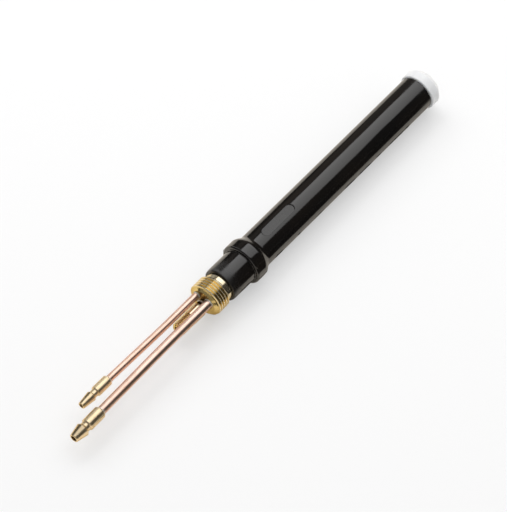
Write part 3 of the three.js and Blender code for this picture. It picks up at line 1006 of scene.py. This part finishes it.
def fillet_mesh(radius, width, centre=(0.0, 0.0), foot=0.0, seed=0.0):
    """A hollow fillet round a tube, with its wide foot in front and its thin edge behind."""
    outline = [(foot, radius), (foot, radius + width)]
    for k in range(1, FILLET_SLICES + 1):
        angle = math.pi / 2 * k / FILLET_SLICES
        outline.append((foot - FILLET_HEIGHT * (1 - math.cos(angle)),
                        radius + FILLET_EDGE + (width - FILLET_EDGE) * (1 - math.sin(angle))))
    outline.append((foot - FILLET_HEIGHT, radius))

    def lumpy(x, size, angle):
        wave = math.sin(3 * angle + seed) + 0.7 * math.sin(7 * angle + 2 * seed)
        return FILLET_LUMP * wave if size > radius + FILLET_EDGE / 2 else 0.0
    return turning(outline, centre, evenly(72), lumpy)


def fitting_fillet(name, node, tube, width=FILLET_WIDTH, seed=0.0):
    mesh = fillet_mesh(tube["radius"] + BRAZE_GAP / 3, width, tube["centre"],
                       fitting_low.x - 0.02 * MM, seed)
    fit_piece(solid_of(name, mesh), silver_braze, node)


fitting_fillet("gas_line_fillet", "gas_tube_rear_braze", GAS_TUBE, seed=1.0)
fitting_fillet("water_line_fillet", "water_tube_rear_braze", WATER_TUBE, seed=2.2)
fitting_fillet("stud_fillet", "stud_rear_braze", STUD, 0.3 * MM, seed=4.1)


def barb_fillet(name, node, tube, barb, mount_name, seed):
    tip, turn = barb_end(mount_name, barb["face_offset"])
    mouth = barb["sleeve"] + barb["groove"] + barb["barb"]
    width = barb["sleeve_radius"] - barb["edge"] - tube["radius"] - BRAZE_GAP
    mesh = fillet_mesh(tube["radius"] + BRAZE_GAP / 3, width, seed=seed)
    bmesh.ops.scale(mesh, vec=(-1, 1, 1), verts=mesh.verts)
    bmesh.ops.translate(mesh, vec=(mouth, 0, 0), verts=mesh.verts)
    fillet = solid_of(name, along(mesh, tip, turn))
    fit_piece(fillet, silver_braze, node)


barb_fillet("gas_barb_fillet", "gas_barb_braze", GAS_TUBE, GAS_BARB, "gas_hose_end", 0.6)
barb_fillet("water_barb_fillet", "water_barb_braze", WATER_TUBE, WATER_BARB, "water_hose_end", 3.3)

# ----------------------------------------------------------------------------- head core
# A machined copper head behind the gasket. The collet body screws into its front socket and
# seats on the spigot's end; the flange and the rear block seal against the water jacket.
HEAD_RADIUS = 6.2 * MM
HEAD_FLANGE_LENGTH = 1.8 * MM
JACKET_WALL = 0.6 * MM
SOCKET_RADIUS = 4.0 * MM
SOCKET_DEPTH = 20.0 * MM
SOCKET_POINT = 1.2 * MM
SOCKET_CHAMFER = 0.45 * MM
SOCKET_THREAD_DEPTH = 0.42 * MM
SOCKET_THREAD_PITCH = 0.794 * MM
SOCKET_THREAD_STOP = 4.0 * MM
SOCKET_THREAD_FADE = 1.0 * MM
WAIST_RADIUS = 4.8 * MM
JACKET_LAND = 2.4 * MM
TUBE_SOCKET_DEPTH = 5.0 * MM


def head_core():
    low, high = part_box("head_core")
    jacket_low, jacket_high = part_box("water_jacket")
    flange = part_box("body_moulding")[1].x - SEAT_GAP
    land = HEAD_RADIUS - JACKET_WALL - SEAT_GAP
    block = jacket_low.x - SEAT_GAP
    floor = high.x - SOCKET_DEPTH
    before = rounded([
        (low.x, 0, 0),
        (low.x, HEAD_RADIUS, 0.3 * MM),
        (block, HEAD_RADIUS, 0),
        (block, land, 0),
        (jacket_low.x + JACKET_LAND, land, 0),
        (jacket_low.x + JACKET_LAND, WAIST_RADIUS, 0),
        (jacket_high.x - JACKET_LAND, WAIST_RADIUS, 0),
        (jacket_high.x - JACKET_LAND, land, 0),
        (flange - HEAD_FLANGE_LENGTH, land, 0),
        (flange - HEAD_FLANGE_LENGTH, HEAD_RADIUS, 0),
        (flange, HEAD_RADIUS, 0),
        (flange, SPIGOT_RADIUS, 0),
        (high.x, SPIGOT_RADIUS, 0.25 * MM),
        (high.x, SOCKET_RADIUS + SOCKET_CHAMFER, 0),
    ])
    limits = [
        (high.x, SOCKET_RADIUS + SOCKET_CHAMFER),
        (floor + SOCKET_THREAD_STOP, SOCKET_RADIUS + SOCKET_THREAD_DEPTH),
        (floor + SOCKET_THREAD_STOP - SOCKET_THREAD_FADE, SOCKET_RADIUS),
        (floor, SOCKET_RADIUS),
    ]
    after = [(floor - SOCKET_POINT, 0)]
    mesh = screwing(before, limits, after, SOCKET_RADIUS, SOCKET_THREAD_DEPTH,
                    SOCKET_THREAD_PITCH, sides=96)
    tubes = [(GAS_TUBE["centre"], GAS_TUBE["radius"]),
             (WATER_TUBE["centre"], WATER_TUBE["radius"]),
             (STUD["centre"], RETURN_TUBE_RADIUS)]
    sockets = [rod(centre, radius + BRAZE_GAP, low.x + TUBE_SOCKET_DEPTH, low.x - 1 * MM)
               for centre, radius in tubes]
    core = cut(solid_of("torch_head", mesh), *sockets)
    fit_piece(core, copper_finish("head_copper"), "head_core")


head_core()

# --------------------------------------------------------------------------- inner pieces
# Inside the moulding the brass water jacket closes the head's waist, a short copper tube brings
# the water back to the stud, and phenolic discs hold the three tubes apart.


def dress(node, material):
    """Gives a node that keeps its own solid its finish."""
    slots = frame["nodes"][node].data.materials
    slots.clear()
    slots.append(material)


def phenolic_finish():
    material, place = start_finish("phenolic", {"IOR": 1.55})
    layers = noise(stretched(place, 3200, 160, 160), 1.0, 3.0)
    link_finish({
        "Base Color": ramp(layers, (0.3, 0.20, 0.085, 0.030), (0.7, 0.34, 0.16, 0.065)),
        "Roughness": between(layers, 0.45, 0.65),
        "Normal": bump(layers, 0.02 * MM),
    })
    return material


dress("water_jacket", brass_finish("jacket_brass"))
dress("return_tube", tube_copper)
phenolic = phenolic_finish()
for number in (1, 2, 3):
    dress(f"tube_spacer_{number}", phenolic)
for node in ("gas_tube_head_braze", "water_tube_head_braze", "return_tube_head_braze"):
    dress(node, silver_braze)
